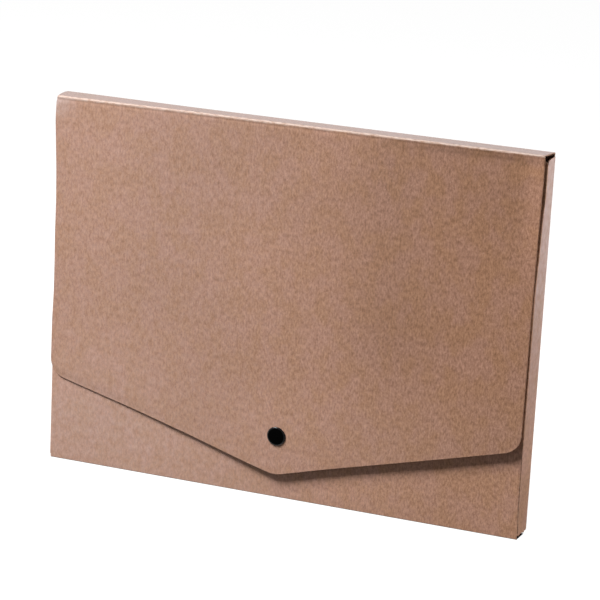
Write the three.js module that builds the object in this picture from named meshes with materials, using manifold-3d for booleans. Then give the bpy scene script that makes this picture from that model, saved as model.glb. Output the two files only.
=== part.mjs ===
// Cardboard document folder: one creased board blank folded into a shallow box with a closing flap,
// held shut by a four-piece press stud. Millimetres, +Z up, the front looks towards -Y.
import * as THREE from 'three';
import { mergeVertices } from 'three/addons/utils/BufferGeometryUtils.js';
import Module from 'manifold-3d';

const wasm = await Module();
wasm.setup();

// Driving dimensions of the folded board
const bodyWidth = 320;
const overallHeight = 241;
const lidDepth = 17.8; // back panel's outer face to the flap's outer face, along the top
const board = 0.8;
const creaseRadius = 1.2; // outside of the top and bottom creases
const sideCreaseRadius = 1.8; // outside of the soft creases beside the front panel

// Clearances
const hingeGap = 0.3; // between a crease's round nose and the panel that turns on it
const lidInset = 0.6; // the lid is this much narrower than the box at each end
const flapClearance = 0.4; // flap to front panel, along the top
const seatGap = 0.02; // between stud pieces and the board that they sit on
const snapClearance = 0.3; // around the stud's nub inside its socket
const holeClearance = 0.3; // around each post in its hole

// Box panels
const frontDrop = 4; // front panel's top edge below the top
const sideDrop = 3; // side walls' top edge below the top
const sideRise = 2.6; // side walls' lower edge above the table
const sideCornerRadius = 3.3; // front top corner of each side wall
const backCornerRadius = 3; // lower corners of the back panel
const tabWidth = 14;
const tabBevel = 8;

// Outline of the flap, measured down from the top
const flapSideLength = 183;
const flapTipLength = 224.8;
const flapCornerRadius = 13;
const flapTipRadius = 20;

// Press stud
const studRise = 25.3; // centre above the flap's tip
const capRadius = 6.2;
const capHeight = 1.4;
const capRim = 0.4; // straight edge below the dome
const postRadius = 1.3;
const headRadius = 2;
const headHeight = 0.3;
const socketRadius = 5.3;
const socketHeight = 1.6;
const socketFloor = 0.5;
const studRadius = 4.9;
const studFloor = 0.5;
const nubRadius = 2.7;
const nubWall = 0.4;

// Roundness of the faceted arcs
const arcSteps = 10;
const noseSides = 32;
const turnedSides = 48;

// Places worked out from the sizes above. y is 0 on the back panel's outer face.
const bodyDepth = lidDepth - board - flapClearance;
const panelWidth = bodyWidth - 2 * sideCreaseRadius; // between the two side creases
const lidWidth = bodyWidth - 2 * lidInset;
const hingeHeight = overallHeight - creaseRadius;
const rearHingeY = -creaseRadius;
const frontHingeY = creaseRadius - lidDepth;
const frontTop = overallHeight - frontDrop;
const sideTop = overallHeight - sideDrop;
const holeRadius = postRadius + holeClearance;
const cavityRadius = nubRadius + snapClearance;
// The closed stud holds the flap off the front panel, so the flap leans out below its crease.
const snapGap = studFloor + snapClearance + socketHeight;
const studReach = flapTipLength - studRise - creaseRadius;
const flapLean = Math.asin((snapGap - flapClearance) / studReach);
const flapInnerY = board - creaseRadius; // in the flap's own frame, from its crease axis
const studHeight = hingeHeight - studReach * Math.cos(flapLean) - flapInnerY * Math.sin(flapLean);
const nubHeight = snapGap - studFloor - socketFloor - headHeight - snapClearance;

const kraft = { color: 0xab8672, roughness: 0.92, metalness: 0 };
const kraftTop = { color: 0xb08c78, roughness: 0.92, metalness: 0 };
const blackPlastic = { color: 0x0c0c0d, roughness: 0.28, metalness: 0 };

const alongX = new THREE.Matrix4().makeBasis(
  new THREE.Vector3(0, 1, 0),
  new THREE.Vector3(0, 0, 1),
  new THREE.Vector3(1, 0, 0),
);
const alongY = new THREE.Matrix4().makeBasis(
  new THREE.Vector3(1, 0, 0),
  new THREE.Vector3(0, 0, 1),
  new THREE.Vector3(0, -1, 0),
);

function point(a, b) {
  return new THREE.Vector2(a, b);
}

// The corner of a path, replaced by an arc that touches both of its lines.
function fillet(before, corner, after, radius) {
  const inward = corner.clone().sub(before).normalize();
  const outward = after.clone().sub(corner).normalize();
  const turn = Math.atan2(inward.cross(outward), inward.dot(outward));
  if (radius <= 0 || turn === 0) {
    return [corner];
  }
  const side = Math.sign(turn);
  const normal = point(-inward.y, inward.x).multiplyScalar(side);
  const reach = radius * Math.tan(Math.abs(turn) / 2);
  const centre = corner.clone().addScaledVector(inward, -reach).addScaledVector(normal, radius);
  const points = [];
  for (let i = 0; i <= arcSteps; i += 1) {
    const spoke = normal.clone().multiplyScalar(-radius);
    spoke.rotateAround(point(0, 0), (turn * i) / arcSteps);
    points.push(centre.clone().add(spoke));
  }
  return points;
}

// An open path whose inner corners are rounded; radii holds one radius for each corner.
function roundedPath(corners, radii) {
  return corners.flatMap((corner, i) => {
    const atEnd = i === 0 || i === corners.length - 1;
    return atEnd ? [corner] : fillet(corners[i - 1], corner, corners[i + 1], radii[i]);
  });
}

// The section of a strip of board whose outer face follows right-angled corners, with the inside on
// the left of the path; radii holds the outer radius of each corner.
function creasedSection(corners, radii) {
  const leftOf = (a, b) => {
    const along = b.clone().sub(a).normalize();
    return point(-along.y, along.x);
  };
  const inner = corners.map((corner, i) => {
    const shift = point(0, 0);
    if (i > 0) {
      shift.add(leftOf(corners[i - 1], corner));
    }
    if (i < corners.length - 1) {
      shift.add(leftOf(corner, corners[i + 1]));
    }
    return corner.clone().addScaledVector(shift, board);
  });
  const outerPath = roundedPath(corners, radii);
  const innerPath = roundedPath(inner, radii.map((radius) => radius - board));
  return [...outerPath, ...innerPath.reverse()];
}

// A prism on the given outline, with round holes of [centre, radius].
function prism(outline, depth, holes = []) {
  const shape = new THREE.Shape(outline);
  for (const [centre, radius] of holes) {
    const hole = new THREE.Path();
    hole.absarc(centre.x, centre.y, radius, 0, 2 * Math.PI, true);
    shape.holes.push(hole);
  }
  return new THREE.ExtrudeGeometry(shape, { depth, bevelEnabled: false, curveSegments: arcSteps });
}

// Outline in (y, z), centred along X.
function prismAlongX(outline, length) {
  return prism(outline, length).applyMatrix4(alongX).translate(-length / 2, 0, 0);
}

// Outline in (x, z), from yFront back to yFront + depth.
function prismAlongY(outline, yFront, depth, holes = []) {
  return prism(outline, depth, holes).applyMatrix4(alongY).translate(0, yFront + depth, 0);
}

// Outline in (x, y), from zLow to zHigh.
function prismAlongZ(outline, zLow, zHigh) {
  return prism(outline, zHigh - zLow).translate(0, 0, zLow);
}

function roundBarAlongX(radius, length, sides) {
  return new THREE.CylinderGeometry(radius, radius, length, sides).rotateZ(Math.PI / 2);
}

function roundBarAlongY(radius, length, sides) {
  return new THREE.CylinderGeometry(radius, radius, length, sides);
}

function toSolid(geometry) {
  const bare = geometry.clone();
  bare.deleteAttribute('normal');
  bare.deleteAttribute('uv');
  const merged = mergeVertices(bare, 1e-5);
  return new wasm.Manifold(new wasm.Mesh({
    numProp: 3,
    vertProperties: new Float32Array(merged.getAttribute('position').array),
    triVerts: new Uint32Array(merged.getIndex().array),
  }));
}

function toGeometry(solid) {
  const mesh = solid.getMesh();
  const geometry = new THREE.BufferGeometry();
  geometry.setAttribute('position', new THREE.BufferAttribute(mesh.vertProperties, 3));
  geometry.setIndex(new THREE.BufferAttribute(mesh.triVerts, 1));
  geometry.computeVertexNormals();
  return geometry;
}

function join(a, b) {
  return toGeometry(toSolid(a).add(toSolid(b)));
}

function cut(a, b) {
  return toGeometry(toSolid(a).subtract(toSolid(b)));
}

function piece(name, geometry, finish) {
  const mesh = new THREE.Mesh(geometry, new THREE.MeshStandardMaterial(finish));
  mesh.name = name;
  return mesh;
}

// Back panel with the round nose of the rear top crease.
function backPanel() {
  const half = bodyWidth / 2;
  const outline = roundedPath(
    [
      point(half, hingeHeight),
      point(-half, hingeHeight),
      point(-half, creaseRadius),
      point(half, creaseRadius),
      point(half, hingeHeight),
    ],
    [0, 0, backCornerRadius, backCornerRadius, 0],
  );
  const panel = prismAlongY(outline.slice(0, -1), -board, board);
  const nose = roundBarAlongX(creaseRadius, lidWidth, noseSides);
  nose.translate(0, rearHingeY, hingeHeight);
  return piece('back_panel', join(panel, nose), kraft);
}

// Bottom spine, flat on the table between its two creases.
function bottomSpine() {
  const flat = new THREE.BoxGeometry(panelWidth, bodyDepth - 2 * creaseRadius, board);
  flat.translate(0, -bodyDepth / 2, board / 2);
  return piece('bottom_spine', flat, kraft);
}

// Crease that turns from a panel's lower edge at y = edge into the bottom spine, in the direction
// of turn.
function bottomCrease(name, edge, turn) {
  const corners = [
    point(edge, creaseRadius),
    point(edge, 0),
    point(edge + turn * creaseRadius, 0),
  ];
  const path = turn > 0 ? corners : corners.reverse();
  return piece(name, prismAlongX(creasedSection(path, [0, creaseRadius, 0]), panelWidth), kraft);
}

// Front panel with the stud's hole.
function frontPanel() {
  const height = frontTop - creaseRadius;
  const panel = new THREE.BoxGeometry(panelWidth, board, height);
  panel.translate(0, board / 2 - bodyDepth, creaseRadius + height / 2);
  const drill = roundBarAlongY(holeRadius, 4 * board, turnedSides);
  drill.translate(0, -bodyDepth, studHeight);
  return piece('front_panel', cut(panel, drill), kraft);
}

// Side wall with the soft crease beside the front panel, and the crease that turns it inside the
// back panel.
function sideWall(name, side) {
  const outer = (side * bodyWidth) / 2;
  const path = [
    point(outer - side * sideCreaseRadius, -bodyDepth),
    point(outer, -bodyDepth),
    point(outer, -board),
    point(outer - side * creaseRadius, -board),
  ];
  const radii = [0, sideCreaseRadius, creaseRadius, 0];
  const section = side > 0
    ? creasedSection(path, radii)
    : creasedSection(path.reverse(), radii.reverse());
  const wall = prismAlongZ(section, sideRise, sideTop);
  const frontEdge = sideCreaseRadius - bodyDepth;
  const cornerLow = sideTop - sideCornerRadius;
  const roundedCorner = roundedPath(
    [
      point(frontEdge, cornerLow),
      point(frontEdge, sideTop),
      point(frontEdge + sideCornerRadius, sideTop),
    ],
    [0, sideCornerRadius, 0],
  );
  const outside = [
    ...roundedCorner,
    point(frontEdge + sideCornerRadius, sideTop + board),
    point(-bodyDepth - board, sideTop + board),
    point(-bodyDepth - board, cornerLow),
  ];
  const cutter = prismAlongX(outside, 4 * sideCreaseRadius).translate(outer, 0, 0);
  return piece(name, cut(wall, cutter), kraft);
}

// Tab glued to the inside of the back panel, with bevelled ends.
function glueTab(name, side) {
  const root = side * (bodyWidth / 2 - creaseRadius);
  const tip = root - side * tabWidth;
  const outline = [
    point(root, sideRise),
    point(root, sideTop),
    point(tip, sideTop - tabBevel),
    point(tip, sideRise + tabBevel),
  ];
  return piece(name, prismAlongY(outline, -2 * board, board), kraft);
}

// Top spine between its two creases, with an end grooved round each nose.
function topSpine() {
  const reach = creaseRadius + hingeGap;
  const top = Math.asin(creaseRadius / reach);
  const bottom = Math.asin((creaseRadius - board) / reach);
  const groove = (hingeY, from, to) => {
    const points = [];
    for (let i = 0; i <= arcSteps; i += 1) {
      const angle = from + ((to - from) * i) / arcSteps;
      points.push(point(hingeY + reach * Math.cos(angle), hingeHeight + reach * Math.sin(angle)));
    }
    return points;
  };
  const section = [
    ...groove(rearHingeY, Math.PI - bottom, Math.PI - top),
    ...groove(frontHingeY, top, bottom),
  ];
  return piece('top_spine', prismAlongX(section, lidWidth), kraftTop);
}

// Flap with the round nose of the front top crease, in a frame on that crease's axis.
function closingFlap() {
  const half = lidWidth / 2;
  const sideLow = creaseRadius - flapSideLength;
  const tipLow = creaseRadius - flapTipLength;
  const outline = roundedPath(
    [
      point(half, 0),
      point(-half, 0),
      point(-half, sideLow),
      point(0, tipLow),
      point(half, sideLow),
      point(half, 0),
    ],
    [0, 0, flapCornerRadius, flapTipRadius, flapCornerRadius, 0],
  );
  const stud = [point(0, -studReach), holeRadius];
  const panel = prismAlongY(outline.slice(0, -1), -creaseRadius, board, [stud]);
  const nose = roundBarAlongX(creaseRadius, lidWidth, noseSides);
  return piece('closing_flap', join(panel, nose), kraft);
}

// Domed cap, seen outside, with its post through the board and the head that grips the other half.
// The seat is at y = 0 and the dome looks towards -Y.
function capGeometry(grip) {
  const profile = [];
  for (let i = 0; i <= arcSteps; i += 1) {
    const angle = (Math.PI / 2) * (i / arcSteps);
    const rise = (capHeight - capRim) * Math.cos(angle);
    profile.push(point(capRadius * Math.sin(angle), -capRim - rise));
  }
  profile[0].x = 0;
  profile.push(
    point(capRadius, 0),
    point(postRadius, 0),
    point(postRadius, grip),
    point(headRadius, grip),
    point(headRadius, grip + headHeight),
    point(0, grip + headHeight),
  );
  return new THREE.LatheGeometry(profile, turnedSides);
}

function snapCap() {
  const grip = board + socketFloor + 3 * seatGap;
  const cap = piece('snap_cap', capGeometry(grip), blackPlastic);
  cap.position.set(0, -creaseRadius - seatGap, -studReach);
  return cap;
}

function snapRearCap() {
  const grip = board + studFloor + 3 * seatGap;
  const cap = piece('snap_rear_cap', capGeometry(grip), blackPlastic);
  cap.rotation.z = Math.PI;
  cap.position.set(0, board - bodyDepth + seatGap, studHeight);
  return cap;
}

// Socket on the flap's inner face, with the cavity that takes the stud's nub.
function snapSocket() {
  const profile = [
    point(holeRadius, 0),
    point(socketRadius, 0),
    point(socketRadius, socketHeight),
    point(cavityRadius, socketHeight),
    point(cavityRadius, socketFloor),
    point(holeRadius, socketFloor),
    point(holeRadius, 0),
  ];
  const socket = piece('snap_socket', new THREE.LatheGeometry(profile, turnedSides), blackPlastic);
  socket.position.set(0, flapInnerY + seatGap, -studReach);
  return socket;
}

// Stud on the front panel's outer face, its hollow nub standing towards the flap.
function snapStud() {
  const nubTop = -studFloor - nubHeight;
  const profile = [
    point(nubRadius - nubWall, nubTop),
    point(nubRadius, nubTop),
    point(nubRadius, -studFloor),
    point(studRadius, -studFloor),
    point(studRadius, 0),
    point(holeRadius, 0),
    point(holeRadius, -studFloor),
    point(nubRadius - nubWall, -studFloor),
    point(nubRadius - nubWall, nubTop),
  ];
  const stud = piece('snap_stud', new THREE.LatheGeometry(profile, turnedSides), blackPlastic);
  stud.position.set(0, -bodyDepth - seatGap, studHeight);
  return stud;
}

const flap = new THREE.Group();
flap.add(closingFlap(), snapCap(), snapSocket());
flap.position.set(0, frontHingeY, hingeHeight);
flap.rotation.x = -flapLean;

const box = new THREE.Group();
box.add(
  backPanel(),
  bottomCrease('rear_bottom_crease', 0, -1),
  bottomSpine(),
  bottomCrease('front_bottom_crease', -bodyDepth, 1),
  frontPanel(),
  sideWall('left_side_wall', -1),
  sideWall('right_side_wall', 1),
  glueTab('left_glue_tab', -1),
  glueTab('right_glue_tab', 1),
  snapStud(),
  snapRearCap(),
);

// The origin is on the table, in the middle of the space that the closed folder takes up.
const capFront = (creaseRadius + seatGap + capHeight) * Math.cos(flapLean);
const overallDepth = -frontHingeY + capFront + studReach * Math.sin(flapLean);

const group = new THREE.Group();
group.add(box, topSpine(), flap);
group.position.y = overallDepth / 2;

export default group;
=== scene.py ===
import math

import bpy
import numpy as np
from mathutils import Matrix, Vector


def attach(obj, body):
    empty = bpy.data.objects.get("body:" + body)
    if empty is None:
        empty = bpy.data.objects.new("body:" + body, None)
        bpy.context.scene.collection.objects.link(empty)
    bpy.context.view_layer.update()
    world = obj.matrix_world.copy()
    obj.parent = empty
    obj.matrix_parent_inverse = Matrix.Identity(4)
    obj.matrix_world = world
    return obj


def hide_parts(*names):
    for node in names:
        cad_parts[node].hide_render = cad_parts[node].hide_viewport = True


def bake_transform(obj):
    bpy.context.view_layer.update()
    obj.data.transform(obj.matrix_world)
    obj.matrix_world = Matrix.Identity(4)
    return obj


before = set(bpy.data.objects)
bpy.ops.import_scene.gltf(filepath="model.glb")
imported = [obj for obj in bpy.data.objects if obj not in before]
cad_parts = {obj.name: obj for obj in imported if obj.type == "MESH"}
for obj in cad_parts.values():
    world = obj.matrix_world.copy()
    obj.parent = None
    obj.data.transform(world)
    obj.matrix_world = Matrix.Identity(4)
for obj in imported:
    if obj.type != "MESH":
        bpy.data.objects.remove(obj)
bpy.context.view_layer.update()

MM = 0.001

# The board in millimetres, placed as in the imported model: x along the folder, y from the flap to
# the back panel and z up. Only the creases beside and below the front panel are tighter here.
BOARD = 0.8  # thickness
CREASE = 1.2  # outer radius of the other creases
SIDE_CREASE = 0.7
FRONT_CREASE = 0.5
SHOULDER = 0.13  # how far the cut edges are eased
HALF = 160.0  # half the folder's length
PANEL_HALF = 158.2  # and the back panel's at its lower edge
FRONT_HALF = HALF - SIDE_CREASE
LID_HALF = 159.4
BACK_Y = 10.61  # outer faces of the back and front panels
FRONT_Y = -5.99
REAR_CREASE_Y = BACK_Y - CREASE
LID_DEPTH = REAR_CREASE_Y - FRONT_Y
LID_SEAM_Y = 7.0  # the back's sheet ends here on the lid, and the flap's begins
WALL = REAR_CREASE_Y - BOARD - FRONT_Y - SIDE_CREASE
BASE = LID_DEPTH - FRONT_CREASE
BACK = 238.6  # height of the back panel's flat part
HINGE_Z = 239.8
TOP_Z = 241.0
FRONT_TOP = 237.0
SIDE_TOP = 238.0
SIDE_BOTTOM = 2.6
SIDE_CORNER = 3.3
BACK_CORNER = 3.0
TAB = 14.0
TAB_BEVEL = 8.0
SLIT = 1.8  # the bottom is this much shorter at each end
LEAN = 0.0100859  # the flap's, in radians
STUD_X = -0.65
STUD_Z = 41.5

# The flap's outline. Depths are measured down from the end of the crease.
FLAP_ZONE = 8.0  # above this depth its rows are level
FLAP_SIDE = 181.8
FLAP_TIP = 223.6
FLAP_CORNER = 13.0
FLAP_TIP_RADIUS = 20.0
EDGE_SLOPE = math.atan2(FLAP_TIP - FLAP_SIDE, LID_HALF)
CORNER_TURN = math.pi / 2 - EDGE_SLOPE
CORNER_REACH = FLAP_CORNER * math.tan(CORNER_TURN / 2)
HALF_CORNER = FLAP_CORNER * CORNER_TURN / 2
TIP_REACH = FLAP_TIP_RADIUS * math.tan(EDGE_SLOPE)
EDGE_RUN = LID_HALF / math.cos(EDGE_SLOPE) - CORNER_REACH - TIP_REACH
EDGE_LENGTH = 2 * (HALF_CORNER + EDGE_RUN + FLAP_TIP_RADIUS * EDGE_SLOPE)
SIDE_RUN = FLAP_SIDE - CORNER_REACH - FLAP_ZONE
SIDE_LENGTH = SIDE_RUN + HALF_CORNER

# How the board of this copy departs from true, in millimetres. Pairs of rows give places and the
# values there.
BOW_BROAD, BOW_FINE = 0.35, 0.2  # waves of the box's panels
BOW_FRONT = 0.3  # share of them on the front panel
STUD_FREE = 30.0  # no wave at the press stud, and whole waves from this far away
WALL_FLARE = 0.61  # how far the right side wall flares at the rear; the left one flares half that
FLARE_DEPTH = 12.8
CORNER_IN = 0.8  # how far the front panel's right end lies inside, times the share at each height
CORNER_DEPTH = 12.0
CORNER_Z = (0, 20, 60, 90, 120, 140, 152, 165, 178, 190, 204, 213)
CORNER_SHARE = (0.3, 1.5, 1.75, 1.8, 1.75, 1.9, 1.85, 1.6, 0.95, 0.6, 0.15, -0.5)
REAR_SHIFT = 0.5  # the lid and the back panel's top lie this much to the left at the rear
LID_SHIFT = 0.9  # and the lid this much at the front
REAR_HALF = 160.5  # half the lid's length at the rear crease
REAR_CORNER_OUT = 0.2  # the lid's rear left corner lies out
REAR_SAG = 0.4  # the lid sags along its rear crease
FRONT_RISE = 0.35  # and rises along its front crease
END_CURL = 0.5  # the lid's left end rises
FLAP_X = (-160, -100, -50, -20, 0, 40, 100, 160)
FLAP_LEAN = (-0.09, -0.02, 0.30, 0.68, 1.0, 1.12, 1.3, 1.42)  # shares of LEAN
WAVE_BROAD, WAVE_FINE = 0.22, 0.12  # waves of the flap
EDGE_PRESS = 0.27  # the flap's lower left edge is this much thinner
GROOVE = 0.12  # depth of the pressed line below the front crease
LEFT_EDGE_Z = (60, 73, 94, 114, 134, 154, 173, 193, 212, 226, 236, 241)
LEFT_EDGE_OUT = (0.1, 0.1, 0.0, -0.7, -0.7, -0.5, -0.7, -0.3, 0.5, 1.1, 0.8, 0.0)
RIGHT_EDGE_Z = (60, 90, 110, 135, 155, 180, 197, 205, 213, 227, 236, 241)
RIGHT_EDGE_OUT = (-0.5, -0.5, -0.46, -0.5, -0.42, -0.27, -0.2, 0.0, 0.15, 0.33, 0.13, 0.0)
LOWER_EDGE_X = (-160, -127, -93, -59, -25, 3, 30, 78, 132, 160)
LOWER_EDGE_UP = (0.0, 0.1, 0.4, 0.1, -0.9, -0.7, -0.15, -0.15, 0.0, 0.0)

# Painted light across the front panel's width, falling off to the right, and painted sheen on
# the side walls, growing up their height.
PANEL_X = (-160, -110, -60, 0, 60, 110)
PANEL_PAINTED_LIGHT = (1.17, 1.18, 1.20, 1.18, 1.16, 1.11)
WALL_PAINTED_SHEEN_Z = (10, 45, 60, 115, 165, 205)
WALL_PAINTED_SHEEN = (0.02, 0.08, 0.12, 0.23, 0.40, 0.46)

# Wear along the creases, and painted light along the front crease of the bottom: its
# strength, and its width in millimetres.
SIDE_WEAR = (0.35, 1.5)
REAR_WEAR = (0.7, 1.3)
FRONT_BASE_PAINTED_LIGHT = (0.7, 1.0)
REAR_BASE_WEAR = (0.3, 1.2)
RIDGE_WEAR_ABOVE = 0.75  # width above the front crease's ridge, where it is full strength
RIDGE_WEAR_BELOW = 1.35  # and below it, in the middle: wider to the left, narrower to the right
RIDGE_WEAR_SLANT = 0.35

# Steps of the sheets' grids, in millimetres from a run's end: finer near edges and creases.
STEP = 4.0
ROW_SPAN = 236.0  # height over which the front's rows are spaced
CUT_STEPS = (SHOULDER, 0.4, 1.0, 2.2)
CORNER_STEPS = (SHOULDER, 0.4, 0.9, 1.6, 2.4, 3.2, 4.0, 5.0, 6.0, 7.2, 9.0, 12.0)
TIP_STEPS = (1.0, 2.0, 3.0, 4.0, 5.0, 6.5, 9.0)
DOWN_STEPS = (SHOULDER, 0.4, 0.9, 1.7, 2.6, 3.6, 5.0, 6.5, 8.5, 11.0)
BACK_LOW_STEPS = (0.05, 0.2, 0.5, 1.0, 1.7, 2.4, 3.0)
BACK_HIGH_STEPS = (0.4, 1.0, 2.0, 4.0)
BACK_SIDE_SHARES = (0.00082, 0.0025, 0.006, 0.014)  # of half the width, from either side
GROOVE_STEPS = (0.3, 0.6, 0.9, 1.3, 1.8, 2.5, 3.5)

# The press stud's turned parts as (radius, height), with a rounding where there is a third number.
STUD_SEAT = 0.02  # gap between a part and the board
STUD_SIDES = 96
CAP_SKIRT = (
    (0.0, 0.0), (5.6, 0.0), (5.95, 0.03), (6.15, 0.12), (6.2, 0.24), (6.17, 0.34), (6.08, 0.45),
    (5.9, 0.62), (5.65, 0.83), (5.5, 0.91),
)
CAP_HEIGHT = 1.4
DOME_RADIUS, DOME_BASE, DOME_RISE = 5.75, 0.62, 0.78
DOME_EDGE = 5.25
CAP_RIM = (5.45, 6.1)  # a polished ring between these radii
NO_RIM = (0.0, 0.0)
RIM_ABOVE = 0.4
SOCKET = (
    (0.0, 0.0, 0), (5.3, 0.0, 0.15), (5.3, 1.0, 0.3), (4.5, 1.6, 0.25), (3.6, 1.6, 0.2),
    (3.25, 1.2, 0.1), (3.0, 0.5, 0.1), (0.0, 0.5, 0),
)
NUB = (
    (0.0, 0.0, 0), (4.9, 0.0, 0.1), (4.9, 0.35, 0.15), (4.3, 0.5, 0.1), (2.75, 0.5, 0.1),
    (2.7, 1.3, 0.15), (2.3, 1.3, 0.1), (2.3, 0.6, 0.05), (0.0, 0.6, 0),
)

# Colours are linear. Noise scales are in cycles per metre: along x, along z and into the board.
BOARD_PINK = (0.376, 0.204, 0.140, 1)
BOARD_BROWN = (0.358, 0.190, 0.112, 1)
BOARD_CLOUD = (0.342, 0.180, 0.109, 1)
GRAIN_DARK = (0.61, 0.575, 0.55, 1)
GRAIN_LIGHT = (1.39, 1.425, 1.45, 1)
FLECK = (0.18, 0.085, 0.055, 1)
PALE_FIBRE = (0.62, 0.42, 0.32, 1)
# Pale dust, and also painted sheen: a whitish haze of glancing light.
PALE_DUST_AND_SHEEN = (0.555, 0.475, 0.475, 1)
# Painted shade and sheen on the lid's top: a grey that darkens it and dulls its colour.
TOP_SHADE_GREY = (0.166, 0.171, 0.183, 1)
CUT_EDGE = (0.30, 0.165, 0.10, 1)
# Pale crease colour: wear, and painted light along the front crease of the bottom.
WORN_AND_PAINTED_LIGHT = (0.46, 0.36, 0.31, 1)
CLOUD_SHARE = 0.33  # how much of each shows at most
FIBRE_SHARE, MOTTLE_SHARE = 0.78, 0.22
FLECK_SHARE = 0.6
PALE_SHARE = 0.35
CUT_EDGE_SHARE = 0.5
# The ragged share breaks up the wear and the painted light along the creases alike.
RAGGED_SHARE = 0.65  # of the wear; the rest is even
BOARD_SHINE = 0.02
SHEEN_SHARE = 0.2
SHEEN_ROUGHNESS = 0.35
BOARD_BUMP = (0.35, 0.0001)  # strength and height in metres
PLASTIC_BUMP = (0.06, 0.00005)
RIM_DULLER = 0.20  # the cap's rim has this much more roughness
RIM_BRIGHTER = 0.12  # and this much more specular level
SHEEN = (1.0, 0.94, 0.96, 1)
PLASTIC_DARK = (0.0004, 0.0004, 0.0004, 1)
PLASTIC_LIGHT = (0.0008, 0.0008, 0.0008, 1)
WHITE = (1.0, 1.0, 1.0, 1)
PATCH_SCALE = (75, 48, 40)
CLOUD_SCALE = (16, 12, 11)
FIBRE_SCALE = (860, 380, 60)
MOTTLE_SCALE = (330, 205, 50)
FLECK_SCALE = (800, 560, 70)
PALE_SCALE = (900, 420, 50)
RAGGED_SCALE = (260, 1100, 60)
PLASTIC_SCALE = (900, 900, 900)
INNER_DEPTH = 0.35  # where the inner face lies in the noise, in metres, so that it looks different

# The stage, in metres and watts.
FLOOR_HALF = 5.0
FLOOR_COLOUR = 0.12
FLOOR_GLOW = 0.96  # as the camera and reflections see it
FLOOR_ROUGHNESS = 0.9
# Painted shadow: the floor is dark under the folder, within these bounds.
DARK_HALF_X, DARK_SLANT = 159.2, 0.07  # the dark floor under the folder, in millimetres
DARK_Y, DARK_HALF_Y = 1.3, 6.0
WORLD_LIGHT = 0.03  # on the object; the camera and reflections see 1
LAMPS = (  # name, place, target, diameter, power
    ("key", (-0.75, -0.62, 1.36), (0, 0, 0.12), 0.56, 55.8),
    ("left_fill", (-0.75, -0.75, 0.12), (-0.05, 0, 0.10), 0.6, 0.9),
    ("right", (0.66, 0.28, 0.42), (0.16, 0, 0.18), 0.45, 5.3),
    ("front_right", (0.90, -0.75, 0.45), (0.16, 0, 0.12), 0.5, 0.25),
    ("back_left", (-0.45, 1.10, 0.50), (0, 0, 0.24), 0.7, 0.3),
)
CAMERA_PLACE = (0.52525, -1.4059, 0.53794)
CAMERA_TURNS = (20.2325, 15.2478, 3.0152)  # azimuth, height above the horizon and roll, in degrees
CAMERA_LENS = 149.575
CAMERA_SENSOR = 36
CAMERA_CLIP_END = 50

NUDGE = 1e-6  # against rounding, where a step falls on a limit


def smooth(t):
    """0 up to t = 0, 1 from t = 1 and smooth between them."""
    t = np.clip(t, 0, 1)
    return t * t * (3 - 2 * t)


def rise(v, start, end):
    """0 at start, 1 at end and smooth between them; end may be the smaller one."""
    return smooth((v - start) / (end - start))


def hill(v, centre, width):
    """1 at the centre, and falling off to both sides."""
    return np.exp(-(((v - centre) / width) ** 2))


def crease_band(v, centre, wear_and_painted_light):
    """A pale band along a crease, of wear and of painted light: wear_and_painted_light is its
    strength and width.
    """
    strength, width = wear_and_painted_light
    return strength * hill(v, centre, width)


def curve(x, places, values, steps=160, reach=11):
    """A smooth curve near the values at the given places, even or uneven."""
    fine = np.linspace(places[0], places[-1], steps + 1)
    coarse = np.interp(fine, places, values)
    before = 2 * coarse[0] - coarse[reach:0:-1]
    after = 2 * coarse[-1] - coarse[-2:-2 - reach:-1]
    kernel = np.hanning(2 * reach + 1)
    padded = np.concatenate([before, coarse, after])
    return np.interp(x, fine, np.convolve(padded, kernel / kernel.sum(), "valid"))


def quarter(radius, steps):
    """Steps along a quarter turn."""
    return np.linspace(0, radius * math.pi / 2, steps + 1)


def spread(length, start=(), end=(), step=STEP):
    """Steps from 0 to length: the distances given from either end, and even steps between them."""
    head = [0.0, *start]
    tail = [length - d for d in end[::-1]] + [length]
    low, high = head[-1], tail[0]
    count = max(1, int(round((high - low) / step)))
    middle = [low + (high - low) * k / count for k in range(1, count)]
    return np.array(head + middle + tail)


def joined(*runs):
    """Runs of steps put end to end."""
    out = [0.0]
    for run in runs:
        base = out[-1]
        out.extend(base + d for d in run[1:])
    return np.array(out)


class Path:
    """Straight runs and left-hand arcs in a plane, with the board's outer face on the right."""

    def __init__(self, start, heading):
        self.end = np.array(start, float)
        self.heading = math.radians(heading)
        self.length = 0.0
        self.parts = []

    def line(self, length):
        """A straight run."""
        self.parts.append((self.length, self.end.copy(), self.heading, 0.0))
        self.end += length * np.array([math.cos(self.heading), math.sin(self.heading)])
        self.length += length
        return self

    def arc(self, radius):
        """A quarter turn."""
        self.parts.append((self.length, self.end.copy(), self.heading, radius))
        left = np.array([-math.sin(self.heading), math.cos(self.heading)])
        ahead = np.array([math.cos(self.heading), math.sin(self.heading)])
        self.end += radius * (left + ahead)
        self.heading += math.pi / 2
        self.length += radius * math.pi / 2
        return self

    def at(self, s):
        """The places at lengths s and the outward normals there."""
        s = np.asarray(s, float)
        place = np.zeros(s.shape + (2,))
        normal = np.zeros(s.shape + (2,))
        for k, (first, start, heading, radius) in enumerate(self.parts):
            here = s >= first if k else np.ones(s.shape, bool)
            along = s - first
            angle = heading + (along / radius if radius else 0 * along)
            outward = np.stack([np.sin(angle), -np.cos(angle)], -1)
            if radius:
                left = np.array([-math.sin(heading), math.cos(heading)])
                p = start + radius * left + radius * outward
            else:
                p = start + along[..., None] * np.array([math.cos(heading), math.sin(heading)])
            place[here] = p[here]
            normal[here] = outward[here]
        return place, normal


def across_lid(y):
    """0 at the rear crease and 1 at the front one."""
    return np.clip((REAR_CREASE_Y - y) / LID_DEPTH, 0, 1)


def off_stud(x, z):
    """0 at the press stud and 1 away from it."""
    return rise(np.hypot(x, z - STUD_Z), 0, STUD_FREE)


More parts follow.
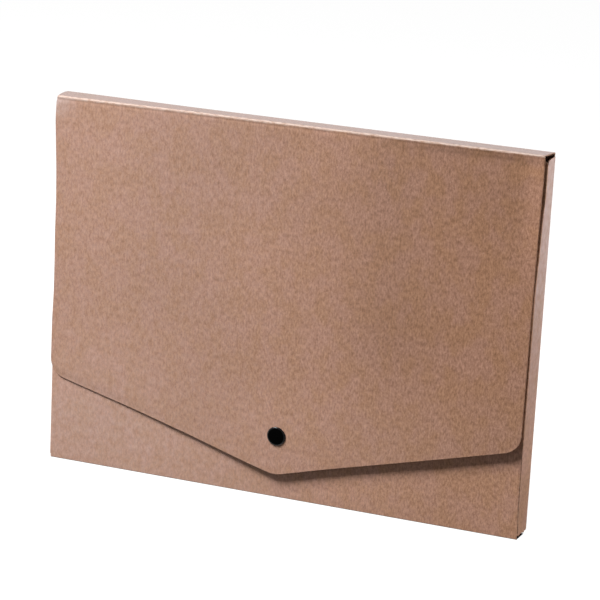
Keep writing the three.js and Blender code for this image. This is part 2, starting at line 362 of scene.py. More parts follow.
def panel_bow(x, y, z):
    """How far the box's panels lie off their planes: nothing along the creases."""
    inside = np.clip(1 - np.abs(x) / HALF, 0, 1)
    inside = inside * rise(z, 0, 40) * rise(z, TOP_Z - 1.5, TOP_Z - 46.5)
    bow = BOW_BROAD * np.sin(x / 47 + 0.6) * np.cos(z / 61 + 1.0)
    bow = bow + BOW_FINE * np.sin(x / 23 - z / 39)
    return np.where(y < 0, BOW_FRONT, 1.0) * bow * rise(inside, 0, 0.25) * off_stud(x, z)


def corner_in(x, y, z):
    """How far the front panel's right end lies to the left."""
    share = np.interp(z, CORNER_Z, CORNER_SHARE) * rise(x, 130, 158)
    return CORNER_IN * share * np.clip(1 - (y - FRONT_Y) / CORNER_DEPTH, 0, 1)


def rear_corner_out(x, across):
    """How far the left ends of the lid and the back panel lie out: nothing at the front crease."""
    return REAR_CORNER_OUT * rise(x, -150, -160) * (1 - across)


def lid_rise(x, across):
    """How far the lid lies above its plane."""
    sag = rise(x, -150, -60) * (-REAR_SAG + (REAR_SAG + FRONT_RISE) * across)
    curl = END_CURL * rise(x, -140, -158) * np.sin(math.pi * np.clip(across, 0, 1)) ** 0.8
    return sag + curl


def side_warp(p):
    """How the front panel bows and the side walls flare: p's points, moved."""
    q = p.copy()
    x, y, z = p[..., 0], p[..., 1], p[..., 2]
    back = np.clip((y - FRONT_Y - SIDE_CREASE) / FLARE_DEPTH, 0, 1.15)
    flare = np.where(x > 0, WALL_FLARE, -0.5 * WALL_FLARE) * back * rise(np.abs(x), 140, 158)
    q[..., 0] += flare - corner_in(x, y, z)
    q[..., 1] += panel_bow(x, y, z)
    return q


def back_warp(p):
    """How the back panel leans to the left and its strip of the lid sags: p's points, moved."""
    q = p.copy()
    x, y, z = p[..., 0], p[..., 1], p[..., 2]
    across = across_lid(y) * (z > HINGE_Z)
    lean = REAR_SHIFT * np.clip(z / HINGE_Z, 0, 1) ** 1.5
    q[..., 0] -= lean + (LID_SHIFT - REAR_SHIFT) * across
    q[..., 0] -= corner_in(x, y, z) * (z < CREASE + 0.01)
    q[..., 0] -= rear_corner_out(x, across) * rise(z, 215, 240)
    q[..., 1] += panel_bow(x, y, z)
    q[..., 2] += lid_rise(x, across) * rise(z, 190, 238)
    return q


def flap_warp(p):
    """How the lid sags, and how the flap stands off and waves: p's points, moved."""
    q = p.copy()
    x, y, z = p[..., 0], p[..., 1], p[..., 2]
    below = np.clip(HINGE_Z - z, 0, None)
    across = across_lid(y)
    wave = WAVE_BROAD * np.sin(x / 31 + 0.8) * np.sin(below / 52)
    wave = wave + WAVE_FINE * np.sin(x / 17 + below / 29)
    wave = wave * rise(below, 0, 40) * off_stud(x, z) * rise(x, -120, -30)
    q[..., 1] -= LEAN * below * curve(x, FLAP_X, FLAP_LEAN) + wave
    q[..., 0] -= REAR_SHIFT + (LID_SHIFT - REAR_SHIFT) * across + rear_corner_out(x, across)
    on_flap = across > 0.999
    q[..., 0] -= np.interp(z, LEFT_EDGE_Z, LEFT_EDGE_OUT) * rise(x, -110, -159) * on_flap
    q[..., 0] += np.interp(z, RIGHT_EDGE_Z, RIGHT_EDGE_OUT) * rise(x, 110, 159) * on_flap
    q[..., 2] += lid_rise(x, across) * rise(z, 120, 230)
    q[..., 2] += curve(x, LOWER_EDGE_X, LOWER_EDGE_UP) * rise(z, 150, 80)
    return q


def dust_and_painted_sheen_at(x, z):
    """Pale dust and painted sheen on the front: more to the left, with patches at the corners and
    by the tip; the rise to the left and the lower left patch are painted sheen.
    """
    even = 0.13 * rise(x, 150, -100)
    lower_left = 0.06 * hill(x, -135, 55) * hill(z, 45, 45)
    lower_right = 0.035 * rise(z, 120, 40) * rise(x, 20, 80)
    tip = 0.04 * hill(x, -5, 75) * rise(z, 92, 42)
    upper_left = 0.3 * hill(x, -159, 9) * hill(z, 237, 8)
    return even + lower_left + lower_right + tip + upper_left


def flap_painted_light(x, z, past_ridge):
    """Painted light and shade on the lid and the flap: painted light low down, most to the left,
    and by the tip; painted shade to the right, towards the top, just below the front crease's ridge
    on the right and in broad bands where the real flap bows; and lighter along the right edge near
    the top. past_ridge is how far down the sheet a point lies from the ridge of the front crease."""
    light = 0.10 * rise(x, -40, -130) * rise(z, 130, 60)
    light += 0.05 * rise(x, -20, 40) * rise(z, 120, 70)
    light += 0.16 * rise(x, 145, 155) * rise(z, 150, 200) * (z < HINGE_Z)
    light += 0.10 * hill(x, -5, 75) * rise(z, 92, 42)
    dark = 0.10 * rise(x, -20, 130) + 0.04 * rise(z, 150, 210)
    dark += 0.22 * rise(x, 30, 110) * hill(past_ridge, 3.5, 2.6)
    band = 0.09 * hill(x, 66, 27) * rise(z, 70, 130)
    middle = 0.07 * hill(x, -12, 32) * rise(z, 150, 200)
    left = 0.045 * rise(x, -125, -85) * rise(x, -20, -50) * rise(z, 90, 120)
    right = 0.05 * rise(x, 80, 110) * rise(x, 152, 140) * rise(z, 185, 220)
    return 1 + light - dark - (band + middle + left + right) * (z < HINGE_Z)


class Tree:
    """The nodes of a material or of the world, made by kind and joined by name."""

    def __init__(self, owner, shader="Principled BSDF"):
        self.owner = owner
        owner.use_nodes = True
        self.nodes = owner.node_tree.nodes
        self.links = owner.node_tree.links
        self.shader = self.nodes[shader]

    def node(self, kind, settings=None, **inputs):
        """A node of this kind, with its settings by their own names and its inputs as in set."""
        made = self.nodes.new("ShaderNode" + kind)
        for key, value in (settings or {}).items():
            setattr(made, key, value)
        self.set(made, **inputs)
        return made

    def set(self, node, **inputs):
        """Sets or links a node's inputs, by name in small letters or by number as i0 and so on."""
        for key, value in inputs.items():
            label = key.replace("_", " ")
            named = [i for i in node.inputs if i.enabled and i.name.lower() == label]
            socket = named[0] if named else node.inputs[int(key[1:])]
            if isinstance(value, bpy.types.NodeSocket):
                self.links.new(value, socket)
            else:
                socket.default_value = value

    def attribute(self, name, output="Fac"):
        return self.node("Attribute", {"attribute_name": name}).outputs[output]

    def noise(self, place, scale, detail, roughness):
        """Noise at a place, stretched by the scale's three numbers."""
        scaled = self.node("VectorMath", {"operation": "MULTIPLY"}, i0=place, i1=scale).outputs[0]
        made = self.node("TexNoise", vector=scaled, scale=1.0, detail=detail, roughness=roughness)
        return made.outputs[0]

    def ramp(self, value, low, high, to_low=0.0, to_high=1.0):
        """Smooth from to_low, where the value is low, to to_high, where it is high."""
        settings = {"interpolation_type": "SMOOTHSTEP"}
        made = self.node("MapRange", settings, i0=value, i1=low, i2=high, i3=to_low, i4=to_high)
        return made.outputs[0]

    def math(self, operation, a, b=0.0, **settings):
        return self.node("Math", {"operation": operation, **settings}, i0=a, i1=b).outputs[0]

    def times(self, a, b):
        return self.math("MULTIPLY", a, b)

    def plus(self, a, b):
        return self.math("ADD", a, b)

    def mix(self, factor, a, b, blend="MIX"):
        made = self.node("Mix", {"data_type": "RGBA", "blend_type": blend}, i0=factor, i6=a, i7=b)
        return made.outputs[2]

    def bump(self, height, strength, distance):
        made = self.node("Bump", height=height, strength=strength, distance=distance)
        return made.outputs[0]

    def seen(self):
        """1 for camera, glossy and transmission rays, and 0 for the rays that only light things."""
        path = self.node("LightPath")
        total = path.outputs["Is Camera Ray"]
        for name in ("Is Glossy Ray", "Is Transmission Ray"):
            total = self.math("ADD", total, path.outputs[name], use_clamp=True)
        return total

    def beyond(self, along, centre, half):
        """1 where a place in metres lies more than half from the centre, both in millimetres."""
        off = self.math("ABSOLUTE", self.math("SUBTRACT", along, centre * MM))
        return self.math("GREATER_THAN", off, half * MM)


def make_kraft():
    """Recycled kraft board: grain, patches, flecks and pale fibres, then painted light and shade,
    pale dust with painted sheen, painted shade and sheen on the lid's top, cut edges, and wear with
    painted light along the creases.
    """
    t = Tree(bpy.data.materials.new("kraft_board"))
    flat = t.attribute("flat", "Vector")
    dust_and_painted_sheen = t.attribute("dust_and_painted_sheen")
    rim = t.attribute("rim")
    patch = t.ramp(t.noise(flat, PATCH_SCALE, 2.0, 0.55), 0.36, 0.64)
    cloud = t.ramp(t.noise(flat, CLOUD_SCALE, 3.0, 0.5), 0.3, 0.7)
    colour = t.mix(patch, BOARD_PINK, BOARD_BROWN)
    colour = t.mix(t.times(cloud, CLOUD_SHARE), colour, BOARD_CLOUD)
    fibre = t.noise(flat, FIBRE_SCALE, 4.0, 0.72)
    mottle = t.noise(flat, MOTTLE_SCALE, 3.0, 0.6)
    level = t.plus(t.times(fibre, FIBRE_SHARE), t.times(mottle, MOTTLE_SHARE))
    grain = t.mix(t.ramp(level, 0.27, 0.73), GRAIN_DARK, GRAIN_LIGHT)
    # The grain is softer under the dust and the painted sheen.
    grain = t.mix(t.ramp(dust_and_painted_sheen, 0.02, 0.22, 0.0, 0.30), grain, WHITE)  # softer under dust
    colour = t.mix(1.0, colour, grain, "MULTIPLY")
    # Painted light and shade: a factor on the colour.
    colour = t.mix(1.0, colour, t.attribute("painted_light"), "MULTIPLY")
    fleck = t.ramp(t.noise(flat, FLECK_SCALE, 1.0, 0.5), 0.715, 0.76)
    colour = t.mix(t.times(fleck, FLECK_SHARE), colour, FLECK)
    pale = t.ramp(t.noise(flat, PALE_SCALE, 2.0, 0.6), 0.67, 0.76)
    colour = t.mix(t.times(pale, PALE_SHARE), colour, PALE_FIBRE)
    # Pale dust and painted sheen, patchy, but not on the cut edges.
    dust_and_sheen_share = t.times(dust_and_painted_sheen, t.ramp(mottle, 0.2, 0.8, 0.6, 1.4))
    dust_and_sheen_share = t.times(dust_and_sheen_share, t.math("SUBTRACT", 1.0, rim))
    colour = t.mix(dust_and_sheen_share, colour, PALE_DUST_AND_SHEEN)
    # Painted shade and sheen on the lid's top.
    top_shaded = t.times(t.attribute("painted_top_shade"), t.ramp(mottle, 0.2, 0.8, 0.53, 0.67))
    colour = t.mix(top_shaded, colour, TOP_SHADE_GREY)
    colour = t.mix(t.times(rim, CUT_EDGE_SHARE), colour, CUT_EDGE)
    # Wear along the creases, and painted light along the front crease of the bottom, broken up by
    # noise.
    ragged = t.ramp(t.noise(flat, RAGGED_SCALE, 4.0, 0.65), 0.34, 0.66)
    ragged = t.plus(t.times(ragged, RAGGED_SHARE), 1 - RAGGED_SHARE)
    worn_and_painted_light_share = t.ramp(t.times(t.attribute("wear_and_painted_light"), ragged), 0.12, 0.85)
    colour = t.mix(worn_and_painted_light_share, colour, WORN_AND_PAINTED_LIGHT)
    t.set(
        t.shader,
        base_color=colour,
        roughness=t.ramp(level, 0.3, 0.7, 0.50, 0.62),
        specular_ior_level=BOARD_SHINE,
        sheen_weight=SHEEN_SHARE,
        sheen_roughness=SHEEN_ROUGHNESS,
        sheen_tint=SHEEN,
        normal=t.bump(level, *BOARD_BUMP),
    )
    return t.owner


def make_plastic():
    """Black moulded plastic that shines at its slanting places, and a brighter, duller rim."""
    t = Tree(bpy.data.materials.new("stud_plastic"))
    grain = t.noise(t.node("TexCoord").outputs["Object"], PLASTIC_SCALE, 2.0, 0.5)
    polish = t.attribute("polish")
    uneven = t.ramp(grain, 0.3, 0.7, 0.07, 0.11)
    slanting = t.ramp(t.node("LayerWeight").outputs["Facing"], 0.20, 0.45, 0.010, 0.50)
    t.set(
        t.shader,
        base_color=t.mix(grain, PLASTIC_DARK, PLASTIC_LIGHT),
        roughness=t.plus(uneven, t.times(polish, RIM_DULLER)),
        specular_ior_level=t.plus(slanting, t.times(polish, RIM_BRIGHTER)),
        normal=t.bump(grain, *PLASTIC_BUMP),
    )
    return t.owner


def add_object(name, data, material=None):
    """An object of this data in the scene."""
    ob = bpy.data.objects.new(name, data)
    bpy.context.scene.collection.objects.link(ob)
    if material:
        data.materials.append(material)
    return ob


def add_values(mesh, name, values):
    """A value at each point, which the materials read."""
    values = np.asarray(values, np.float32)
    mesh.attributes.new(name, "FLOAT", "POINT").data.foreach_set("value", values)


def border_of(shape, sides):
    """Which points lie on the given sides: first row, last row, first column, last column."""
    out = np.zeros(shape, bool)
    for wanted, where in zip(sides, (np.s_[0, :], np.s_[-1, :], np.s_[:, 0], np.s_[:, -1])):
        if wanted:
            out[where] = True
    return out


def board_sheet(name, outer, normal, flat, cuts, marks, warp, thin=0.0):
    """A closed sheet of board from a grid of points on its outer face: outer[row, column], the
    normals there, the places on the unfolded sheet, which of its four sides are cut, the marks
    that the material reads, the warp of its points and how much thinner it is."""
    rows, columns = outer.shape[:2]
    cut = border_of((rows, columns), cuts)
    drop_outer = np.where(cut, SHOULDER, 0.0) + thin
    drop_inner = np.where(cut, BOARD - SHOULDER, BOARD)
    faces = [warp(outer - normal * drop[..., None]) for drop in (drop_outer, drop_inner)]
    verts = np.concatenate([face.reshape(-1, 3) for face in faces]) * MM
    count = rows * columns
    index = np.arange(count).reshape(rows, columns)
    a, b, c, d = index[:-1, :-1], index[:-1, 1:], index[1:, 1:], index[1:, :-1]
    ring = np.concatenate([index[0, :-1], index[:-1, -1], index[-1, :0:-1], index[:0:-1, 0]])
    after = np.roll(ring, -1)
    quads = np.concatenate([
        np.stack([a, b, c, d], -1).reshape(-1, 4),
        np.stack([d, c, b, a], -1).reshape(-1, 4) + count,
        np.stack([after, ring, ring + count, after + count], -1),
    ])
    mesh = bpy.data.meshes.new(name)
    mesh.from_pydata(verts.tolist(), [], quads.tolist())
    mesh.validate()
    # The grid may wind either way, so the first face tells whether the sheet is inside out.
    if Vector(normal[0, 0]).dot(mesh.polygons[0].normal) < 0:
        mesh.flip_normals()
    mesh.polygons.foreach_set("use_smooth", np.ones(len(mesh.polygons), bool))
    # A side that isn't cut meets another sheet, and both of its edges are sharp.
    seam = np.tile(border_of((rows, columns), [not c for c in cuts]).ravel(), 2)
    ends = np.zeros(2 * len(mesh.edges), np.int32)
    mesh.edges.foreach_get("vertices", ends)
    one, two = ends.reshape(-1, 2).T
    sharp = seam[one] & seam[two] & ((one < count) == (two < count))
    mesh.attributes.new("sharp_edge", "BOOLEAN", "EDGE").data.foreach_set("value", sharp)
    depths = (np.where(cut, SHOULDER * MM, 0.0), np.full(cut.shape, INNER_DEPTH))
    places = np.concatenate([np.dstack([flat * MM, depth]).reshape(-1, 3) for depth in depths])
    attribute = mesh.attributes.new("flat", "FLOAT_VECTOR", "POINT")
    attribute.data.foreach_set("vector", places.astype(np.float32).ravel())
    for mark, value in {**marks, "rim": cut}.items():
        inner = {"rim": cut, "painted_light": np.ones(cut.shape)}.get(mark, np.zeros(cut.shape))
        add_values(mesh, mark, np.concatenate([value.ravel(), inner.ravel()]))
    ob = add_object(name, mesh, kraft)
    return ob


def make_front_and_sides():
    """The front panel, side walls and tabs: columns run round the box, and rows up it."""
    path = Path((-HALF + CREASE + TAB, BACK_Y - BOARD), 180)
    path.line(TAB).arc(CREASE).line(WALL).arc(SIDE_CREASE).line(2 * FRONT_HALF)
    path.arc(SIDE_CREASE).line(WALL).arc(CREASE).line(TAB)
    bend = quarter(CREASE, 6)
    soft = quarter(SIDE_CREASE, 8)
    wall = spread(WALL, (0.6, 2.0), np.arange(0.15, 3.4, 0.3), 2.5)
    tab = spread(TAB, CUT_STEPS, (1.0,), 3.0)
    front = spread(2 * FRONT_HALF, (0.2, 1.2), (0.2, 1.2))
    other_wall, other_tab = (WALL - wall)[::-1], (TAB - tab)[::-1]
    columns = joined(tab, bend, wall, soft, front, soft, other_wall, bend, other_tab)
    wall_start = TAB + bend[-1]
    front_start = wall_start + WALL + soft[-1]
    u = np.minimum(columns, path.length - columns)  # from the nearer end
    from_front = wall_start + WALL - u
    rounding = np.sqrt(np.clip(SIDE_CORNER**2 - (SIDE_CORNER - from_front) ** 2, 0, None))
    wall_top = np.where(from_front > SIDE_CORNER, SIDE_TOP, SIDE_TOP - SIDE_CORNER + rounding)
    bevel = TAB_BEVEL * (1 - u / TAB)
    on_tab, before_front = u < TAB, u < front_start - NUDGE
    top = np.where(before_front, SIDE_TOP - SIDE_CORNER, FRONT_TOP)
    top = np.where(from_front >= -NUDGE, wall_top, top)
    top = np.where(on_tab, SIDE_TOP - bevel, top)
    bottom = np.where(u < front_start, SIDE_BOTTOM, FRONT_CREASE)
    bottom = np.where(on_tab, SIDE_BOTTOM + bevel, bottom)
    rows = spread(ROW_SPAN, CUT_STEPS, CUT_STEPS) / ROW_SPAN
    z = bottom + rows[:, None] * (top - bottom)
    place, normal = path.at(columns)
    x, y, normal_x, normal_y, along, _ = np.broadcast_arrays(*place.T, *normal.T, columns, z)
    outer = np.stack([x, y, z], -1)
    normals = np.stack([normal_x, normal_y, np.zeros(z.shape)], -1)
    flat = np.stack([along - path.length / 2, z], -1)
    ridge = front_start - soft[-1] / 2
    wear_and_painted_light = crease_band(along, ridge, SIDE_WEAR) + crease_band(along, path.length - ridge, SIDE_WEAR)
    facing = y < FRONT_Y + 1
    # On the front the pale mark is dust and painted sheen; the extra at the lower left is painted
    # sheen.
    front_dust_and_sheen = dust_and_painted_sheen_at(x, z) + 0.07 * rise(x, 60, -100) * rise(z, 62, 32)
    # Painted light on the side walls, lighter between 25 and 110 millimetres up.
    wall_painted_light = 1 + 0.08 * rise(z, 25, 50) * rise(z, 110, 60)
    marks = {
        "wear_and_painted_light": wear_and_painted_light,
        # On the walls the pale mark is painted sheen, stronger towards the top.
        "dust_and_painted_sheen": np.where(facing, front_dust_and_sheen, np.interp(z, WALL_PAINTED_SHEEN_Z, WALL_PAINTED_SHEEN)),
        "painted_top_shade": np.zeros(z.shape),
        "painted_light": np.where(facing, np.interp(x, PANEL_X, PANEL_PAINTED_LIGHT), wall_painted_light),
    }
    cuts = (False, True, True, True)
    ob = board_sheet("front_and_sides", outer, normals, flat, cuts, marks, side_warp)
    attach(ob, "box")
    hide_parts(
        "front_panel", "left_side_wall", "right_side_wall", "left_glue_tab", "right_glue_tab"
    )


def make_bottom_and_back():
    """The bottom, the back panel and the lid's rear strip: rows run from the front crease."""
    lid_strip = REAR_CREASE_Y - LID_SEAM_Y
    path = Path((FRONT_Y, FRONT_CREASE), -90)
    path.arc(FRONT_CREASE).line(BASE).arc(CREASE).line(BACK).arc(CREASE).line(lid_strip)
    bend = quarter(CREASE, 7)
    first = quarter(FRONT_CREASE, 5)
    base = spread(BASE, (1.0,), (1.0,), 3.0)
    back = spread(BACK, BACK_LOW_STEPS, BACK_HIGH_STEPS)
    lid = spread(lid_strip, (0.4, 1.0), (), 1.0)
    rows = joined(first, base, bend, back, bend, lid)
    place, normal = path.at(rows)
    y, z = place.T
    base_start, base_end = first[-1], first[-1] + BASE
    behind = rows > base_end
    rounding = np.sqrt(np.clip(BACK_CORNER**2 - (CREASE + BACK_CORNER - z) ** 2, 0, None))
    lower = np.where(z > CREASE + BACK_CORNER, HALF, HALF - BACK_CORNER + rounding)
    half = np.where(behind, PANEL_HALF, FRONT_HALF)
    half = np.where(behind & (z > CREASE), np.maximum(lower, PANEL_HALF), half)
    slit = rise(rows, base_start, base_start + 1.5) * rise(rows, base_end, base_end - 3)
    half = half - SLIT * slit * ~behind
    near_top = rise(z, 236.5, 239.0) * behind
    half = half * (1 - near_top) + REAR_HALF * near_top
    half = half + (LID_HALF - REAR_HALF) * across_lid(y) * (z > HINGE_Z)
    across = spread(2.0, BACK_SIDE_SHARES, BACK_SIDE_SHARES, 0.025) - 1.0
    x = half[:, None] * across
    y, z, normal_y, normal_z, along, _ = np.broadcast_arrays(
        *place.T[..., None], *normal.T[..., None], rows[:, None], x
    )
    outer = np.stack([x, y, z], -1)
    normals = np.stack([np.zeros(x.shape), normal_y, normal_z], -1)
    flat = np.stack([x, FRONT_CREASE - along], -1)
    top_bend = path.length - lid[-1] - bend[-1]
    # The band along the front crease of the bottom is painted light.
    wear_and_painted_light = crease_band(along, top_bend + bend[-1] / 2, REAR_WEAR) + crease_band(along, 0, FRONT_BASE_PAINTED_LIGHT)
    wear_and_painted_light += crease_band(along, base_end + bend[-1] / 2, REAR_BASE_WEAR)
    # Painted shade and sheen on the lid's strip beyond the rear crease.
    painted_top_shade = rise(along, top_bend, top_bend + bend[-1])
    marks = {"wear_and_painted_light": wear_and_painted_light, "dust_and_painted_sheen": np.zeros(x.shape), "painted_top_shade": painted_top_shade, "painted_light": np.ones(x.shape)}
    cuts = (False, False, True, True)
    ob = board_sheet("bottom_and_back", outer, normals, flat, cuts, marks, back_warp)
    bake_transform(ob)
    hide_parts("back_panel", "rear_bottom_crease", "bottom_spine", "front_bottom_crease")


def flap_edge(s):
    """Places on the flap's lower edge as (x, depth): s runs from the middle of its left corner to
    the middle of its right one."""
    along = np.array([math.cos(EDGE_SLOPE), math.sin(EDGE_SLOPE)])
    inward = np.array([math.sin(EDGE_SLOPE), -math.cos(EDGE_SLOPE)])
    left = np.minimum(s, EDGE_LENGTH - s)
    spoke = math.pi - CORNER_TURN / 2 - left / FLAP_CORNER
    corner_centre = np.array([-LID_HALF + FLAP_CORNER, FLAP_SIDE - CORNER_REACH])
    corner = corner_centre + FLAP_CORNER * np.stack([np.cos(spoke), np.sin(spoke)], -1)
    start = np.array([-LID_HALF, FLAP_SIDE]) + CORNER_REACH * along
    run = start + (left - HALF_CORNER)[:, None] * along
    slope = EDGE_SLOPE - (left - HALF_CORNER - EDGE_RUN) / FLAP_TIP_RADIUS
    tip_centre = start + EDGE_RUN * along + FLAP_TIP_RADIUS * inward
    tip = tip_centre + FLAP_TIP_RADIUS * np.stack([-np.sin(slope), np.cos(slope)], -1)
    out = np.where((left < HALF_CORNER)[:, None], corner, run)
    out = np.where((left > HALF_CORNER + EDGE_RUN)[:, None], tip, out)
    out[:, 0] = np.where(s > EDGE_LENGTH / 2, -out[:, 0], out[:, 0])
    return out


def flap_side(d):
    """Places on the flap's left side as (x, depth): d runs down to the middle of its corner."""
    angle = (d - SIDE_RUN) / FLAP_CORNER
    x = np.where(d < SIDE_RUN, -LID_HALF, -LID_HALF + FLAP_CORNER * (1 - np.cos(angle)))
    turned_depth = FLAP_SIDE - CORNER_REACH + FLAP_CORNER * np.sin(angle)
    return np.stack([x, np.where(d < SIDE_RUN, FLAP_ZONE + d, turned_depth)], -1)


def flap_grid():
    """The flap below FLAP_ZONE as (x, depth), blended from its four sides."""
    half = spread(EDGE_LENGTH / 2, CORNER_STEPS, TIP_STEPS)
    s = np.concatenate([half, EDGE_LENGTH - half[-2::-1]])
    down = spread(SIDE_LENGTH, (0.6, 1.5, 3.0), DOWN_STEPS)
    low = flap_edge(s)
    crown = np.stack([LID_HALF * (2 * s / EDGE_LENGTH - 1), np.full(s.shape, FLAP_ZONE)], -1)
    left = flap_side(down)
    right = left * np.array([-1, 1])
    t, u = (down / SIDE_LENGTH)[:, None, None], (s / EDGE_LENGTH)[None, :, None]
    grid = (1 - t) * crown + t * low + (1 - u) * left[:, None] + u * right[:, None]
    corners = (1 - t) * ((1 - u) * crown[0] + u * crown[-1])
    corners = corners + t * ((1 - u) * low[0] + u * low[-1])
    return grid - corners


def make_lid_and_flap():
    """The rest of the lid and the flap: rows run from the seam on the lid down to the V edge."""
    lid_run = LID_SEAM_Y - FRONT_Y
    path = Path((LID_SEAM_Y, TOP_Z), 180)
    path.line(lid_run).arc(CREASE).line(FLAP_TIP + 1)
    bend = quarter(CREASE, 8)
    flap_start = lid_run + bend[-1]
    lid = spread(lid_run, (1.0, 2.0), (0.3, 0.7, 1.2, 2.0), 2.0)
    rows = joined(lid, bend, spread(FLAP_ZONE, GROOVE_STEPS, (), 1.2))
    grid = flap_grid()
    head = np.zeros((len(rows), grid.shape[1], 2))
    head[..., 0] = grid[0, :, 0]
    head[..., 1] = rows[:, None]
    grid[..., 1] += flap_start
    grid = np.concatenate([head, grid[1:]])
    x, v = grid[..., 0], grid[..., 1]
    place, normal = path.at(v)
    y, z = place[..., 0], place[..., 1]
    width = 1 + (REAR_HALF / LID_HALF - 1) * (1 - across_lid(y))
    outer = np.stack([x * width, y, z], -1)
    normals = np.stack([np.zeros(x.shape), normal[..., 0], normal[..., 1]], -1)
    outer -= normals * (GROOVE * hill(v, flap_start + 1.3, 0.8))[..., None]
    behind = (FRONT_CREASE + 2 * CREASE) * math.pi / 2 + BASE + BACK + REAR_CREASE_Y - LID_SEAM_Y
    flat = np.stack([x, FRONT_CREASE - behind - v], -1)
    ridge = lid_run + bend[-1] / 2
    below = RIDGE_WEAR_BELOW - RIDGE_WEAR_SLANT * x / HALF
    ridge_width = np.where(v > ridge, below, RIDGE_WEAR_ABOVE)
    # Painted shade and sheen on the lid up to the front crease; the flap below has dust and painted
    # sheen.
    painted_top_shade = rise(v, flap_start, lid_run)
    marks = {
        "wear_and_painted_light": hill(v, ridge, ridge_width),
        "dust_and_painted_sheen": dust_and_painted_sheen_at(x, z) * (1 - painted_top_shade),
        "painted_top_shade": painted_top_shade,
        "painted_light": flap_painted_light(x, z, v - ridge),
    }
    above_edge = v[-1] - v
    thin = EDGE_PRESS * rise(x, -45, -125) * rise(above_edge, 6.5, 0.5)
    cuts = (False, True, True, True)
    ob = board_sheet("lid_and_flap", outer, normals, flat, cuts, marks, flap_warp, thin)
    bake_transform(ob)
    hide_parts("top_spine", "closing_flap")


def rounded(corners, steps=4):
    """A profile whose inner corners are rounded: corners is (radius, height, rounding)."""
    points = [np.array(c[:2], float) for c in corners]
    out = [tuple(points[0])]
    for before, point, after, corner in zip(points, points[1:], points[2:], corners[1:]):
        a, b = (
            point + (other - point) / np.linalg.norm(other - point) * corner[2]
            for other in (before, after)
        )
        for t in np.linspace(0, 1, steps + 1):
            out.append(tuple((1 - t) ** 2 * a + 2 * t * (1 - t) * point + t * t * b))
    out.append(tuple(points[-1]))
    return out


def turned(name, profile, centre, axis, body, node, rim):
    """A turned piece: profile is (radius, height) up its axis, from one end to the other, closed
    on the axis. Its polished rim lies between the two radii given."""
    verts, faces, rings = [], [], []
    for radius, height in profile:
        sides = STUD_SIDES if radius > NUDGE else 1
        rings.append([len(verts) + k for k in range(sides)])
        for k in range(sides):
            a = 2 * math.pi * k / sides
            verts.append((radius * math.cos(a), radius * math.sin(a), height))
    for one, two in zip(rings, rings[1:]):
        for k in range(STUD_SIDES):
            j = (k + 1) % STUD_SIDES
            corners = [one[k % len(one)], one[j % len(one)], two[j % len(two)], two[k % len(two)]]
            seen = list(dict.fromkeys(corners))
            if len(seen) > 2:
                faces.append(seen)
    mesh = bpy.data.meshes.new(name)
    mesh.from_pydata([tuple(c * MM for c in v) for v in verts], [], faces)
    mesh.validate()
    places = [tuple(c / MM for c in v.co) for v in mesh.vertices]
    polish = [rim[0] < math.hypot(x, y) < rim[1] and z > RIM_ABOVE for x, y, z in places]
    add_values(mesh, "polish", polish)
    turn = Vector((0, 0, 1)).rotation_difference(Vector(axis))
    mesh.transform(Matrix.Translation(Vector(centre) * MM) @ turn.to_matrix().to_4x4())
    mesh.polygons.foreach_set("use_smooth", np.ones(len(mesh.polygons), bool))
    ob = add_object(name, mesh, plastic)
    ob.modifiers.new("sharp", "WEIGHTED_NORMAL").keep_sharp = True
    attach(ob, body)
    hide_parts(node)


def make_stud():
    """The press stud's four parts: cap and socket on the flap, nub and second cap on the box."""
    flap_y = FRONT_Y - CREASE - LEAN * (HINGE_Z - STUD_Z)
    outward = (0, -math.cos(LEAN), -math.sin(LEAN))
    inward = (0, math.cos(LEAN), math.sin(LEAN))
    turns = np.linspace(0.35, math.pi / 2, 14)
    dome = [(DOME_RADIUS * math.cos(a), DOME_BASE + DOME_RISE * math.sin(a)) for a in turns]
    cap = [*CAP_SKIRT, *[p for p in dome if p[0] < DOME_EDGE][:-1], (0.0, CAP_HEIGHT)]
    before, behind = -STUD_SEAT, BOARD + STUD_SEAT
    for name, profile, y, axis, body, node, rim in (
        ("stud_cap", cap, flap_y + before, outward, "flap", "snap_cap", CAP_RIM),
        ("stud_socket", rounded(SOCKET), flap_y + behind, inward, "flap", "snap_socket", NO_RIM),
        ("stud_nub", rounded(NUB), FRONT_Y + before, (0, -1, 0), "box", "snap_stud", NO_RIM),
        ("stud_rear_cap", cap, FRONT_Y + behind, (0, 1, 0), "box", "snap_rear_cap", CAP_RIM),
    ):
        turned(name, profile, (STUD_X, y, STUD_Z), axis, body, node, rim)


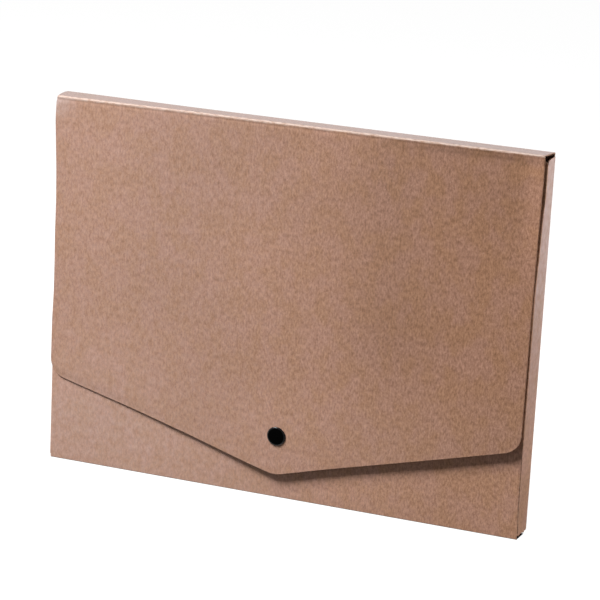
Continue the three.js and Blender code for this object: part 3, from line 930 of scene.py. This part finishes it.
def make_floor():
    """A white floor that barely lights the object. Under the folder it is dark, a painted shadow,
    so that the slits below the side walls stay dark."""
    t = Tree(bpy.data.materials.new("floor"))
    place = t.node("SeparateXYZ", i0=t.node("NewGeometry").outputs["Position"])
    x, y, _ = place.outputs
    slanted = t.math("SUBTRACT", x, t.times(y, DARK_SLANT))
    beside = t.beyond(slanted, 0.0, DARK_HALF_X)
    outside_painted_shadow = t.math("MAXIMUM", beside, t.beyond(y, DARK_Y, DARK_HALF_Y))
    t.set(
        t.shader,
        base_color=t.times(outside_painted_shadow, FLOOR_COLOUR),
        roughness=FLOOR_ROUGHNESS,
        specular_ior_level=0.0,
        emission_color=WHITE,
        emission_strength=t.times(t.seen(), t.times(outside_painted_shadow, FLOOR_GLOW)),
    )
    mesh = bpy.data.meshes.new("floor")
    corners = [(a * FLOOR_HALF, b * FLOOR_HALF, 0) for a, b in ((-1, -1), (1, -1), (1, 1), (-1, 1))]
    mesh.from_pydata(corners, [], [(0, 1, 2, 3)])
    floor = add_object("floor", mesh, t.owner)


def make_world():
    """White as it is seen, and a little even light."""
    world = bpy.data.worlds.new("world")
    bpy.context.scene.world = world
    t = Tree(world, "Background")
    strength = t.node("MapRange", i0=t.seen(), i3=WORLD_LIGHT, i4=1.0).outputs[0]
    t.set(t.shader, color=WHITE, strength=strength)


def make_lamps():
    """Round lamps that the camera doesn't see."""
    for name, place, target, diameter, power in LAMPS:
        data = bpy.data.lights.new(name, "AREA")
        data.shape = "DISK"
        data.size = diameter
        data.energy = power
        lamp = add_object(name, data)
        lamp.location = place
        lamp.visible_camera = False
        aim = Vector(target) - Vector(place)
        lamp.rotation_euler = aim.to_track_quat("-Z", "Y").to_euler()


def make_camera():
    """The camera fitted to the photograph's outline."""
    azimuth, height, roll = (math.radians(a) for a in CAMERA_TURNS)
    forward = Vector((
        -math.sin(azimuth) * math.cos(height),
        math.cos(azimuth) * math.cos(height),
        -math.sin(height),
    ))
    level = forward.cross(Vector((0, 0, 1))).normalized()
    right = level * math.cos(roll) + level.cross(forward) * math.sin(roll)
    up = right.cross(forward)
    data = bpy.data.cameras.new("camera")
    data.sensor_width = CAMERA_SENSOR
    data.lens = CAMERA_LENS
    data.clip_end = CAMERA_CLIP_END
    camera = add_object("camera", data)
    turn = Matrix((right, up, -forward)).transposed().to_4x4()
    camera.matrix_world = Matrix.Translation(CAMERA_PLACE) @ turn
    bpy.context.scene.camera = camera


kraft = make_kraft()
plastic = make_plastic()
make_front_and_sides()
make_bottom_and_back()
make_lid_and_flap()
make_stud()
make_floor()
make_world()
make_lamps()
make_camera()
bpy.context.scene.view_settings.view_transform = "Standard"
